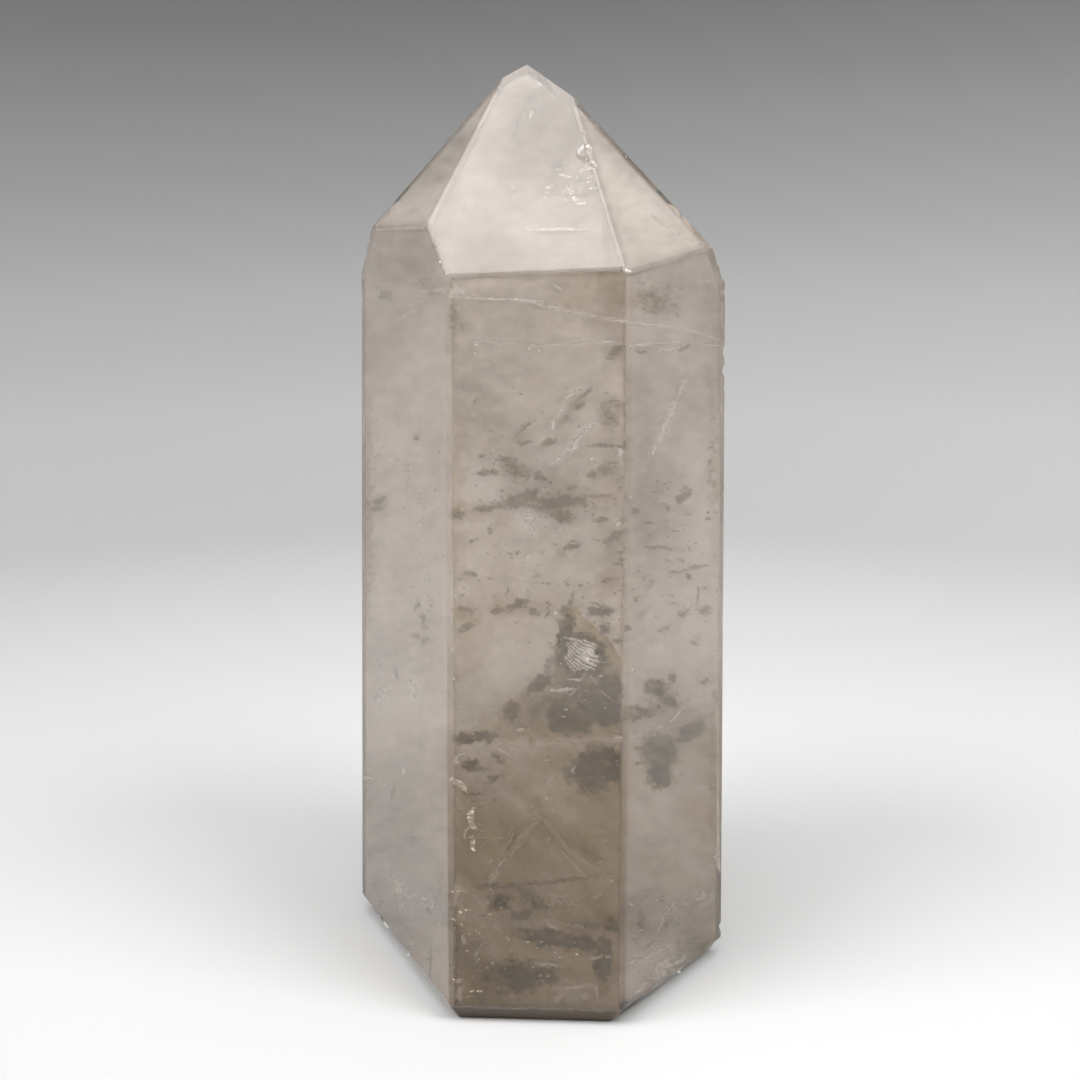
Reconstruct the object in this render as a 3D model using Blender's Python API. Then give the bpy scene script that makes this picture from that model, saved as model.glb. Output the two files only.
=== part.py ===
"""A polished point of milky quartz: one crystal, cut facet by facet and standing on its ground base.

The crystal is cut in millimetres and scaled to metres at the end, with +Z up. Its base lies on z = 0
and the middle of its outline, seen from above, is the origin. Bearings are in degrees, anticlockwise
from +X seen from above, so that the broad front face, at -93, looks along -Y.
"""

import math
import random
from typing import NamedTuple

import bmesh
import bpy
from mathutils import Matrix, Vector, noise

METRES_PER_MM = 0.001

# Driving dimensions, in millimetres
ROUGH_BLOCK = 160.0  # edge of the block that the facets are cut from
BLOCK_BELOW = 1.0  # how far that block reaches below the base
MERGE_DISTANCE = 0.02  # corners closer than this are one corner
EDGE_ROUNDING = 0.16  # how far the polish runs back from each edge
EDGE_SEGMENTS = 2
EDGE_PROFILE = 0.5  # a quarter circle
SCOOP_ROUNDNESS = 3.2  # a chip's radius across, as a multiple of its depth
SCOOP_REACH = 1.45  # a scoop's full length over the length that it leaves on an edge
SCOOP_ROUGHNESS = 0.16  # how far a scoop's surface strays, as a share of its radius
SCOOP_LUMPS = 1.7  # how many lumps of noise lie along a scoop's radius
SCOOP_FINENESS = 2  # how often a scoop's ball of triangles is divided
SCOOP_SPACING = 7.3  # how far apart in the noise one scoop is from the next
QUARTZ_IOR = 1.544


class Facet(NamedTuple):
    """One flat: where its outward normal points and how far out it lies.

    reach is in millimetres: for a side facet it is the distance from the axis at the base, and for a tip
    facet the height at which its plane meets the axis.
    """

    bearing: float
    reach: float
    tilt: float  # degrees of the normal above the horizontal


SIDES = {
    "left": Facet(-155.4, 17.1, 0.9),
    "front": Facet(-93.0, 21.7, 1.5),
    "right": Facet(-36.9, 20.7, 0.9),
    "back_right": Facet(23.8, 17.4, 0.9),
    "back": Facet(95.0, 21.3, 1.2),
    "back_left": Facet(144.5, 21.0, 1.7),
}
TIPS = {
    "tip_left": Facet(-155.9, 101.75, 39.6),
    "tip_front": Facet(-95.5, 97.6, 45.7),
    "tip_right": Facet(-44.4, 100.65, 42.9),
    "tip_back_right": Facet(27.1, 100.6, 32.8),
    "tip_back": Facet(90.0, 105.2, 34.0),
    "tip_back_left": Facet(137.6, 103.5, 34.3),
}
BASE = (Vector((0, 0, -1)), 0.0)
# How high the bevel ground round the base reaches on each upright edge, and how far in each of its
# facets runs, in millimetres: it is wider on the right and climbs towards the back right
FOOT_HEIGHTS = {
    ("left", "front"): 2.15,
    ("front", "right"): 2.15,
    ("right", "back_right"): 2.2,
    ("back_right", "back"): 3.3,
    ("back", "back_left"): 2.2,
    ("back_left", "left"): 2.15,
}
FOOT_INSETS = {"left": 1.4, "front": 1.3, "right": 1.9, "back_right": 1.7, "back": 1.8, "back_left": 1.5}


class Chip(NamedTuple):
    """A flake lost from the edge between two facets, where the edge passes place on the given axis."""

    facets: tuple
    axis: str
    place: float
    length: float
    depth: float


# Flakes seen from the front, from the top down
SEEN_CHIPS = (
    Chip(("tip_front", "tip_back_right"), "x", 0.9, 0.8, 0.16),
    Chip(("tip_front", "tip_back_right"), "x", 2.6, 0.6, 0.1),
    Chip(("tip_front", "tip_left"), "z", 91.5, 0.7, 0.08),
    Chip(("tip_front", "tip_left"), "z", 85.4, 0.6, 0.08),
    Chip(("tip_front", "tip_right"), "z", 92.2, 1.0, 0.14),
    Chip(("tip_front", "tip_right"), "z", 90.7, 1.5, 0.32),
    Chip(("tip_front", "tip_right"), "z", 88.9, 1.2, 0.22),
    Chip(("tip_front", "left"), "z", 81.9, 0.6, 0.14),
    Chip(("tip_front", "left"), "z", 81.2, 0.5, 0.1),
    Chip(("tip_front", "left"), "z", 80.6, 0.8, 0.2),
    Chip(("tip_front", "left"), "z", 79.9, 0.5, 0.12),
    Chip(("tip_front", "left"), "z", 79.3, 0.6, 0.16),
    Chip(("tip_front", "left"), "z", 78.7, 0.5, 0.1),
    Chip(("tip_front", "front"), "x", -6.0, 0.7, 0.08),
    Chip(("tip_front", "front"), "x", 5.9, 0.5, 0.07),
    Chip(("tip_right", "front"), "x", 9.0, 0.9, 0.2),
    Chip(("tip_right", "right"), "x", 12.7, 0.6, 0.08),
    Chip(("tip_back_left", "left"), "z", 81.4, 1.9, 0.4),
    Chip(("tip_back_left", "left"), "z", 79.6, 1.5, 0.36),
    Chip(("tip_left", "left"), "x", -17.4, 1.0, 0.24),
    Chip(("tip_left", "left"), "x", -14.2, 0.6, 0.1),
    Chip(("tip_back_right", "right"), "z", 79.0, 1.2, 0.22),
    Chip(("tip_back_right", "right"), "z", 77.6, 1.4, 0.3),
    Chip(("right", "back_right"), "z", 75.8, 1.1, 0.24),
    Chip(("right", "back_right"), "z", 69.6, 1.7, 0.36),
    Chip(("right", "back_right"), "z", 67.6, 1.6, 0.42),
    Chip(("right", "back_right"), "z", 65.9, 1.0, 0.2),
    Chip(("right", "back_right"), "z", 44.3, 0.7, 0.14),
    Chip(("right", "back_right"), "z", 40.2, 0.8, 0.16),
    Chip(("right", "back_right"), "z", 15.6, 0.8, 0.14),
    Chip(("right", "back_right"), "z", 3.4, 1.6, 0.5),
    Chip(("left", "back_left"), "z", 74.6, 0.9, 0.24),
    Chip(("left", "back_left"), "z", 71.3, 0.8, 0.2),
    Chip(("left", "back_left"), "z", 61.0, 0.6, 0.1),
    Chip(("left", "back_left"), "z", 38.4, 0.7, 0.12),
    Chip(("left", "back_left"), "z", 20.2, 0.6, 0.1),
    Chip(("left", "back_left"), "z", 4.2, 0.8, 0.14),
    Chip(("left", "front"), "z", 66.3, 0.9, 0.22),
    Chip(("left", "front"), "z", 63.0, 0.7, 0.18),
    Chip(("left", "front"), "z", 56.4, 0.5, 0.1),
    Chip(("left", "front"), "z", 45.9, 0.6, 0.16),
    Chip(("left", "front"), "z", 33.0, 0.6, 0.1),
    Chip(("left", "front"), "z", 21.5, 0.5, 0.1),
    Chip(("left", "front"), "z", 14.3, 1.2, 0.3),
    Chip(("left", "front"), "z", 13.2, 0.9, 0.26),
    Chip(("left", "front"), "z", 11.8, 0.5, 0.16),
    Chip(("left", "front"), "z", 10.6, 0.7, 0.18),
    Chip(("left", "front"), "z", 8.2, 0.7, 0.16),
    Chip(("left", "front"), "z", 6.6, 0.6, 0.14),
    Chip(("left", "front"), "z", 4.7, 0.8, 0.2),
    Chip(("left", "foot_left"), "x", -18.4, 0.9, 0.2),
    Chip(("front", "foot_front"), "x", -7.9, 0.8, 0.16),
    Chip(("front", "foot_front"), "x", 4.1, 1.8, 0.26),
    Chip(("front", "foot_front"), "x", 5.7, 1.3, 0.22),
    Chip(("front", "right"), "z", 75.7, 0.6, 0.14),
    Chip(("front", "right"), "z", 71.4, 0.5, 0.1),
    Chip(("front", "right"), "z", 60.2, 0.6, 0.12),
    Chip(("front", "right"), "z", 36.8, 0.6, 0.12),
    Chip(("front", "right"), "z", 16.5, 0.5, 0.12),
    Chip(("front", "right"), "z", 12.1, 0.7, 0.18),
    Chip(("right", "foot_right"), "x", 12.2, 1.1, 0.2),
)
# The shell-shaped flake on the front tip facet, beside its right-hand edge
SHELL_PLACE = Vector((5.2, -8.4, 90.0))
SHELL_RADII = Vector((1.5, 2.3, 1.3))  # across, up the facet and into it
SHELL_DEPTH = 0.34
# Flakes on the edges behind: a seeded scatter, away from the corners and never deeper than a quarter of
# their length
HIDDEN_CHIPS = 16
SEED = 20
HIDDEN_EDGES = (
    ("back", "back_left"),
    ("back", "back_right"),
    ("tip_back", "back"),
    ("tip_back", "tip_back_left"),
    ("tip_back", "tip_back_right"),
    ("back", "foot_back"),
    ("back_left", "foot_back_left"),
)
HIDDEN_LENGTHS = (0.6, 1.8)
HIDDEN_DEPTHS = (0.1, 0.38)
HIDDEN_STRETCH = (0.12, 0.88)  # shares of the edge's length
DEEPEST_SHARE = 0.25


def clear_scene():
    """Removes whatever objects the file holds."""
    for item in list(bpy.data.objects):
        bpy.data.objects.remove(item, do_unlink=True)


def facet_plane(facet, on_axis):
    """A facet's outward unit normal and its distance from the origin."""
    bearing = math.radians(facet.bearing)
    tilt = math.radians(facet.tilt)
    flat = math.cos(tilt)
    normal = Vector((math.cos(bearing) * flat, math.sin(bearing) * flat, math.sin(tilt)))
    return normal, facet.reach * (math.sin(tilt) if on_axis else flat)


def meeting_point(first, second, third):
    """The point that three planes share."""
    rows = Matrix((first[0], second[0], third[0]))
    return rows.inverted() @ Vector((first[1], second[1], third[1]))


def foot_plane(sides, name):
    """The bevel facet under one side: through its two upright edges and in by its inset at the base."""
    ends = []
    for pair, height in FOOT_HEIGHTS.items():
        if name in pair:
            level = (Vector((0, 0, 1)), height)
            ends.append(meeting_point(sides[pair[0]], sides[pair[1]], level))
    outward = sides[name][0].copy()
    outward.z = 0
    outward.normalize()
    low = outward * (SIDES[name].reach - FOOT_INSETS[name])
    normal = (ends[0] - low).cross(ends[1] - low).normalized()
    if normal.dot(outward) < 0:
        normal = -normal
    return normal, normal.dot(low)


def planes():
    """Every facet's plane by name."""
    found = {name: facet_plane(facet, on_axis=False) for name, facet in SIDES.items()}
    feet = {"foot_" + name: foot_plane(found, name) for name in SIDES}
    tips = {name: facet_plane(facet, on_axis=True) for name, facet in TIPS.items()}
    return {"base": BASE, **found, **feet, **tips}


PLANES = planes()


def cut(mesh, normal, distance):
    """Saws the solid off along one plane and closes the new flat."""
    everything = mesh.verts[:] + mesh.edges[:] + mesh.faces[:]
    sawn = bmesh.ops.bisect_plane(
        mesh, geom=everything, plane_co=normal * distance, plane_no=normal, clear_outer=True
    )
    rim = [item for item in sawn["geom_cut"] if isinstance(item, bmesh.types.BMEdge)]
    bmesh.ops.contextual_create(mesh, geom=rim)


def cut_crystal():
    """The faceted solid in millimetres, with its edges rounded by the polish."""
    mesh = bmesh.new()
    raised = Matrix.Translation((0, 0, ROUGH_BLOCK / 2 - BLOCK_BELOW))
    bmesh.ops.create_cube(mesh, size=ROUGH_BLOCK, matrix=raised)
    for normal, distance in PLANES.values():
        cut(mesh, normal, distance)
    bmesh.ops.remove_doubles(mesh, verts=mesh.verts, dist=MERGE_DISTANCE)
    bmesh.ops.recalc_face_normals(mesh, faces=mesh.faces)
    bmesh.ops.bevel(
        mesh,
        geom=mesh.edges[:],
        offset=EDGE_ROUNDING,
        segments=EDGE_SEGMENTS,
        profile=EDGE_PROFILE,
        affect="EDGES",
    )
    return mesh


def edge_place(facets, axis, place):
    """The point where two facets' edge passes a place on one axis, with the edge's direction."""
    first, second = (PLANES[name] for name in facets)
    level = Vector([float(letter == axis) for letter in "xyz"])
    point = meeting_point(first, second, (level, place))
    along = first[0].cross(second[0]).normalized()
    outward = (first[0] + second[0]).normalized()
    return point, along, outward


def add_scoop(mesh, centre, axes, radii, number):
    """Adds one lumpy ellipsoid, whose axes are the columns of a matrix, to the cutter."""
    made = bmesh.ops.create_icosphere(mesh, subdivisions=SCOOP_FINENESS, radius=1.0)
    own_noise = Vector((number * SCOOP_SPACING, number, 0))
    for vert in made["verts"]:
        direction = vert.co.copy()
        lump = 1 + SCOOP_ROUGHNESS * noise.noise(direction * SCOOP_LUMPS + own_noise)
        vert.co = centre + axes @ Vector([direction[i] * radii[i] * lump for i in range(3)])


def add_edge_chip(mesh, chip, number):
    """Adds the scoop that takes one flake from an edge."""
    point, along, outward = edge_place(chip.facets, chip.axis, chip.place)
    across = outward.cross(along)
    thick = chip.depth * SCOOP_ROUNDNESS
    radii = (chip.length * SCOOP_REACH / 2, thick, thick)
    axes = Matrix((along, across, outward)).transposed()
    add_scoop(mesh, point + outward * (thick - chip.depth), axes, radii, number)


def add_shell_flake(mesh, number):
    """Adds the shallow shell-shaped scoop in the front tip facet."""
    normal, distance = PLANES["tip_front"]
    place = SHELL_PLACE + normal * (distance - normal.dot(SHELL_PLACE))
    across = Vector((0, 0, 1)).cross(normal).normalized()
    axes = Matrix((across, normal.cross(across), normal)).transposed()
    add_scoop(mesh, place + normal * (SHELL_RADII.z - SHELL_DEPTH), axes, SHELL_RADII, number)


def edge_span(solid, facets):
    """How far along an edge the crystal's own stretch of it runs, as the two end points."""
    chosen = [PLANES[name] for name in facets]
    near = EDGE_ROUNDING * 2
    ends = [
        vert.co.copy()
        for vert in solid.verts
        if all(abs(normal.dot(vert.co) - distance) < near for normal, distance in chosen)
    ]
    along = chosen[0][0].cross(chosen[1][0])
    ends.sort(key=along.dot)
    return ends[0], ends[-1]


def hidden_chips(solid):
    """A scatter of small flakes on the edges behind, which the front view doesn't show."""
    picker = random.Random(SEED)
    chips = []
    for number in range(HIDDEN_CHIPS):
        facets = HIDDEN_EDGES[number % len(HIDDEN_EDGES)]
        start, end = edge_span(solid, facets)
        place = start.lerp(end, picker.uniform(*HIDDEN_STRETCH))
        axis = max("xyz", key=lambda letter: abs(getattr(end - start, letter)))
        length = picker.uniform(*HIDDEN_LENGTHS)
        depth = min(picker.uniform(*HIDDEN_DEPTHS), length * DEEPEST_SHARE)
        chips.append(Chip(facets, axis, getattr(place, axis), length, depth))
    return chips


def link_object(name, mesh, centre):
    """Scales a millimetre mesh to metres about the given centre and puts it in the scene."""
    bmesh.ops.translate(mesh, verts=mesh.verts, vec=-centre)
    bmesh.ops.scale(mesh, verts=mesh.verts, vec=Vector((1, 1, 1)) * METRES_PER_MM)
    data = bpy.data.meshes.new(name)
    mesh.to_mesh(data)
    mesh.free()
    made = bpy.data.objects.new(name, data)
    bpy.context.scene.collection.objects.link(made)
    return made


def milky_quartz():
    """Pale grey-brown quartz, part clear and part milky, with a wet polish."""
    material = bpy.data.materials.new("milky_quartz")
    material.use_nodes = True
    shader = material.node_tree.nodes["Principled BSDF"]
    shader.inputs["Base Color"].default_value = (0.62, 0.55, 0.5, 1)
    shader.inputs["Roughness"].default_value = 0.08
    shader.inputs["Metallic"].default_value = 0.0
    shader.inputs["IOR"].default_value = QUARTZ_IOR
    shader.inputs["Transmission Weight"].default_value = 0.6
    return material


def build():
    clear_scene()
    solid = cut_crystal()
    xs = [vert.co.x for vert in solid.verts]
    ys = [vert.co.y for vert in solid.verts]
    centre = Vector(((min(xs) + max(xs)) / 2, (min(ys) + max(ys)) / 2, 0))
    chips = list(SEEN_CHIPS) + hidden_chips(solid)

    scoops = bmesh.new()
    for number, chip in enumerate(chips):
        add_edge_chip(scoops, chip, number)
    add_shell_flake(scoops, len(chips))

    crystal = link_object("quartz_point", solid, centre)
    crystal.data.materials.append(milky_quartz())
    cutter = link_object("chip_cutter", scoops, centre)
    cutter.hide_render = True
    cutter.display_type = "WIRE"

    chipping = crystal.modifiers.new("chips", "BOOLEAN")
    chipping.operation = "DIFFERENCE"
    chipping.solver = "EXACT"
    chipping.object = cutter
    chipping.use_self = True


build()
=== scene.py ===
"""The looks of a polished point of milky quartz, standing on a pale floor in soft light."""

import math

import bpy
import numpy as np
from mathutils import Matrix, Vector


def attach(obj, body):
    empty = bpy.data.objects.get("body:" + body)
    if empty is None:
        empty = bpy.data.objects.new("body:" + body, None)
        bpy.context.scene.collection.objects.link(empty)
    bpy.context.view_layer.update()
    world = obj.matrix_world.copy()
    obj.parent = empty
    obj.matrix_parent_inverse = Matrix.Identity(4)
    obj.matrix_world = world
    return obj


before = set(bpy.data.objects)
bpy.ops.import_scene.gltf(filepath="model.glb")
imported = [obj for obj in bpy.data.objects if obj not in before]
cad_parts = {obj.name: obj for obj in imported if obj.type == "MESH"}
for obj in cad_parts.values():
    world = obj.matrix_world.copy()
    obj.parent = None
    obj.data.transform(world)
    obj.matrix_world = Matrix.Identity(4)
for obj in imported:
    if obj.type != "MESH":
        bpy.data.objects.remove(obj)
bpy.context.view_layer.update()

MM = 0.001
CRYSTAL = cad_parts["quartz_point"]

# The camera, from the corners of the crystal in the photograph
PICTURE_WIDTH = 1080
SENSOR = 36.0
LENS = 49.41
FOCAL = PICTURE_WIDTH * LENS / SENSOR  # in pixels
CAMERA_PLACE = np.array((0.49, -164.77, 81.78))  # millimetres
CAMERA_PITCH = math.radians(11.61)  # below the horizontal

# The crystal's facets: outward normal, and distance from the origin in millimetres
FRONT = ((-0.0523, -0.9983, 0.0262), 21.69)
LEFT = ((-0.9091, -0.4162, 0.0157), 17.10)
RIGHT = ((0.7996, -0.6003, 0.0157), 20.70)
BACK = ((-0.0871, 0.9960, 0.0209), 21.30)
BACK_LEFT = ((-0.8138, 0.5804, 0.0297), 20.99)
BACK_RIGHT = ((0.9148, 0.4035, 0.0157), 17.40)
TIP_LEFT = ((-0.7034, -0.3146, 0.6374), 64.86)
TIP_FRONT = ((-0.0669, -0.6952, 0.7157), 69.85)
TIP_RIGHT = ((0.5234, -0.5125, 0.6807), 68.52)
TIP_BACK_RIGHT = ((0.7483, 0.3829, 0.5417), 54.50)
TIP_BACK = ((0.0, 0.8290, 0.5592), 58.83)
TIP_BACK_LEFT = ((-0.6100, 0.5570, 0.5635), 58.33)
BASE = ((0.0, 0.0, -1.0), 0.0)
FACETS = (
    FRONT, LEFT, RIGHT, BACK, BACK_LEFT, BACK_RIGHT,
    TIP_LEFT, TIP_FRONT, TIP_RIGHT, TIP_BACK_RIGHT, TIP_BACK, TIP_BACK_LEFT, BASE,
)
QUARTZ_IOR = 1.544


# Noise and places


LATTICE = 64  # heights on each side of the noise's lattice
OCTAVE_FALL = 0.55
OCTAVE_SHIFT = 13
FACET_TOP = 1000  # top of a far facet's places, in tenths of a millimetre


def smooth_noise(across, down, seed):
    """Random heights on a square lattice, eased between its corners, from 0 to 1."""
    table = np.random.default_rng(seed).random((LATTICE, LATTICE))
    column = np.floor(across).astype(int)
    row = np.floor(down).astype(int)
    right = across - column
    below = down - row
    right = right * right * (3 - 2 * right)
    below = below * below * (3 - 2 * below)
    top, bottom = row % LATTICE, (row + 1) % LATTICE
    first, last = column % LATTICE, (column + 1) % LATTICE
    upper = table[top, first] * (1 - right) + table[top, last] * right
    lower = table[bottom, first] * (1 - right) + table[bottom, last] * right
    return upper * (1 - below) + lower * below


def clouds(across, down, seed, octaves=5):
    """Smooth noise summed over octaves, each twice as fine and a little over half as strong."""
    total = 0
    weights = 0
    for octave in range(octaves):
        weight = OCTAVE_FALL**octave
        fine = 2**octave
        shifted = across * fine + OCTAVE_SHIFT * octave
        total = total + weight * smooth_noise(shifted, down * fine, seed + octave)
        weights += weight
    return total / weights


def seen_inside(u, v, facet, depth):
    """Where the camera's ray through a pixel gets to, bent at a facet by Snell's law, a depth under it."""
    normal = np.array(facet[0])
    forward = np.array((0, math.cos(CAMERA_PITCH), -math.sin(CAMERA_PITCH)))
    upward = np.array((0, math.sin(CAMERA_PITCH), math.cos(CAMERA_PITCH)))
    half = PICTURE_WIDTH / 2
    ray = (
        forward
        + ((u - half) / FOCAL)[..., None] * np.array((1.0, 0, 0))
        + ((half - v) / FOCAL)[..., None] * upward
    )
    ray /= np.linalg.norm(ray, axis=-1, keepdims=True)
    facing = -(ray @ normal)
    reach = (CAMERA_PLACE @ normal - facet[1]) / facing
    entry = CAMERA_PLACE + reach[..., None] * ray
    ratio = 1 / QUARTZ_IOR
    bent_facing = np.sqrt(1 - ratio**2 * (1 - facing**2))
    bent = ratio * ray + (ratio * facing - bent_facing)[..., None] * normal
    return entry + bent * (depth / bent_facing)[..., None]


def under_facet(u, v, facet, depth):
    """Points under a facet on the far side, u across it and v down it in tenths of a millimetre."""
    normal = np.array(facet[0])
    across = np.cross((0, 0, 1), normal)
    across /= np.linalg.norm(across)
    upward = np.cross(normal, across)
    return (
        (facet[1] - depth)[..., None] * normal
        + (u / 10)[..., None] * across
        + ((FACET_TOP - v) / 10)[..., None] * upward
    )


# Node helpers


def new_material(name):
    """A node material and its Principled shader."""
    material = bpy.data.materials.new(name)
    material.use_nodes = True
    return material, material.node_tree, material.node_tree.nodes["Principled BSDF"]


def add_node(tree, kind, inputs=(), **settings):
    """A node with its settings, each input linked from a socket or set to a value."""
    made = tree.nodes.new("ShaderNode" + kind)
    for key, value in settings.items():
        setattr(made, key, value)
    for key, value in dict(inputs).items():
        if isinstance(value, bpy.types.NodeSocket):
            tree.links.new(value, made.inputs[key])
        else:
            made.inputs[key].default_value = value
    return made


def object_place(tree):
    return add_node(tree, "TexCoord").outputs["Object"]


def noise(tree, where, scale, detail, roughness):
    inputs = {"Vector": where, "Scale": scale, "Detail": detail, "Roughness": roughness}
    return add_node(tree, "TexNoise", inputs).outputs[0]


def fade(tree, value, start, end, low=0.0, high=1.0):
    """Eased from low to high while a value goes from start to end."""
    inputs = {"Value": value, "From Min": start, "From Max": end, "To Min": low, "To Max": high}
    return add_node(tree, "MapRange", inputs, interpolation_type="SMOOTHSTEP").outputs["Result"]


def calculate(tree, operation, first, second, third=0.0, clamp=False):
    node = add_node(tree, "Math", {0: first, 1: second, 2: third}, operation=operation)
    node.use_clamp = clamp
    return node.outputs["Value"]


def colour_ramp(tree, value, stops):
    """A colour for each value, even between the stops, which are (value, colour)."""
    ramp = add_node(tree, "ValToRGB", {"Fac": value})
    elements = ramp.color_ramp.elements
    while len(elements) < len(stops):
        elements.new(0.5)
    for element, (place, colour) in zip(elements, stops):
        element.position = place
        element.color = (*colour, 1)
    return ramp.outputs["Color"]


def blend_colours(tree, share, first, second):
    """From the first colour to the second by a share."""
    node = add_node(tree, "Mix", {"Factor": share}, data_type="RGBA")
    for key, value in ((6, first), (7, second)):
        if isinstance(value, bpy.types.NodeSocket):
            tree.links.new(value, node.inputs[key])
        else:
            node.inputs[key].default_value = (*value, 1)
    return node.outputs[2]


# Camera and stage


def add_camera():
    """A level camera looking along +Y and down by its pitch, with the photograph's framing."""
    data = bpy.data.cameras.new("camera")
    data.sensor_width = SENSOR
    data.lens = LENS
    data.clip_start = 0.01
    made = bpy.data.objects.new("camera", data)
    made.location = CAMERA_PLACE * MM
    made.rotation_euler = (math.pi / 2 - CAMERA_PITCH, 0, 0)
    bpy.context.scene.collection.objects.link(made)
    bpy.context.scene.camera = made


FLOOR_RADIUS = 0.25
COVE_RADIUS = 0.30
WALL_TOP = 0.62
COVE_TURNS = 96
INNERMOST = 0.0005
FLOOR_RINGS, BEND_RINGS, WALL_RINGS = 20, 33, 8


def cove_profile():
    """Radius and height down the middle of the cove: a flat floor, a quarter circle and a plain wall."""
    flat = np.linspace(INNERMOST, FLOOR_RADIUS, FLOOR_RINGS)
    angle = np.linspace(0, math.pi / 2, BEND_RINGS)[1:]
    bend = FLOOR_RADIUS + COVE_RADIUS * np.sin(angle)
    rise = COVE_RADIUS * (1 - np.cos(angle))
    wall = np.linspace(COVE_RADIUS, WALL_TOP, WALL_RINGS)[1:]
    radius = np.concatenate([flat, bend, np.full(len(wall), FLOOR_RADIUS + COVE_RADIUS)])
    height = np.concatenate([np.zeros(len(flat)), rise, wall])
    return radius, height


def grid_faces(rows, columns, closed_u=False):
    """Corner numbers of the quads of a grid, anticlockwise."""
    index = np.arange(rows * columns).reshape(rows, columns)
    right = np.roll(index, -1, axis=1) if closed_u else index[:, 1:]
    left = index if closed_u else index[:, :-1]
    return np.stack([left[:-1], right[:-1], right[1:], left[1:]], axis=-1).reshape(-1, 4)


def mesh_from(name, points, faces):
    mesh = bpy.data.meshes.new(name)
    mesh.from_pydata(points.tolist(), [], faces.tolist())
    mesh.update()
    mesh.shade_smooth()
    return mesh


def add_object(name, mesh, material):
    made = bpy.data.objects.new(name, mesh)
    made.data.materials.append(material)
    bpy.context.scene.collection.objects.link(made)
    return made


# How pale the paper is painted, by distance from the middle in metres: painted shade, greyer outwards and up
# the wall where the light falls off
PAINTED_FALLOFF_STOPS = (
    (0.0, 0.60),
    (0.06, 0.59),
    (0.10, 0.565),
    (0.25, 0.462),
    (0.36, 0.438),
    (0.43, 0.36),
    (0.50, 0.225),
    (0.55, 0.093),
)
PAPER_REACH = 0.4  # metres to either side; the paper is darker on the left and paler on the right
# Painted shade on the left and painted light on the right, scaling the paper's colour across its width
PAINTED_LEFT_SHADE, PAINTED_RIGHT_LIGHT = 0.88, 1.12


def paper_material():
    """Matt paper, near white in the middle and painted greyer outwards and up the wall as painted shade, and
    painted darker on the left than on the right.
    """
    material, tree, shader = new_material("backdrop_paper")
    shader.inputs["Roughness"].default_value = 1.0
    shader.inputs["Specular IOR Level"].default_value = 0.0
    where = object_place(tree)
    flat = add_node(tree, "VectorMath", {0: where, 1: (1, 1, 0)}, operation="MULTIPLY")
    length = add_node(tree, "VectorMath", {0: flat.outputs[0]}, operation="LENGTH")
    # painted shade: the paper's colour falls off outwards and up the wall like the light
    paper = colour_ramp(tree, length.outputs["Value"], [(far, (shade,) * 3) for far, shade in PAINTED_FALLOFF_STOPS])
    sideways = add_node(tree, "SeparateXYZ", {"Vector": where}).outputs["X"]
    # painted shade on the left and painted light on the right
    uneven = fade(tree, sideways, -PAPER_REACH, PAPER_REACH, PAINTED_LEFT_SHADE, PAINTED_RIGHT_LIGHT)
    shade = add_node(tree, "VectorMath", {0: paper, "Scale": uneven}, operation="SCALE")
    tree.links.new(shade.outputs["Vector"], shader.inputs["Base Color"])
    return material


def add_stage():
    """The cove's profile turned about the upright axis."""
    radius, height = cove_profile()
    turn = np.linspace(0, 2 * math.pi, COVE_TURNS, endpoint=False)
    points = np.stack(
        [
            radius[:, None] * np.cos(turn),
            radius[:, None] * np.sin(turn),
            np.repeat(height[:, None], COVE_TURNS, axis=1),
        ],
        axis=-1,
    )
    mesh = mesh_from("backdrop", points.reshape(-1, 3), grid_faces(*points.shape[:2], closed_u=True))
    add_object("backdrop", mesh, paper_material())


def add_softbox(name, place, aim, size, power):
    """A square lamp that faces a point."""
    data = bpy.data.lights.new(name, "AREA")
    data.shape = "SQUARE"
    data.size = size
    data.energy = power
    made = bpy.data.objects.new(name, data)
    made.location = place
    made.rotation_euler = (Vector(aim) - Vector(place)).to_track_quat("-Z", "Y").to_euler()
    bpy.context.scene.collection.objects.link(made)


# Name, place, aim, width in metres and power in watts
SOFTBOXES = (
    ("overhead_softbox", (0.06, -0.22, 1.0), (0, -0.05, 0), 0.9, 7.0),
    ("left_fill", (-0.42, -0.26, 0.56), (0, 0, 0.06), 0.36, 5.2),
    ("right_fill", (0.40, -0.30, 0.56), (0, 0, 0.06), 0.36, 4.3),
)
ROOM_STRENGTH = 0.35


def add_light():
    """A wide softbox overhead, a fill on either side of the camera and an even pale room."""
    for softbox in SOFTBOXES:
        add_softbox(*softbox)
    world = bpy.data.worlds.new("soft_room")
    bpy.context.scene.world = world
    world.use_nodes = True
    background = world.node_tree.nodes["Background"]
    background.inputs["Color"].default_value = (1, 1, 1, 1)
    background.inputs["Strength"].default_value = ROOM_STRENGTH
    bpy.context.scene.view_settings.view_transform = "Standard"


# The crystal's own material

MILKY = (0.88, 0.80, 0.74)
# Browner and darker low down: partly the stone's smoky brown, partly painted shade
SMOKE_AND_SHADE = (0.42, 0.34, 0.26)
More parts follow.
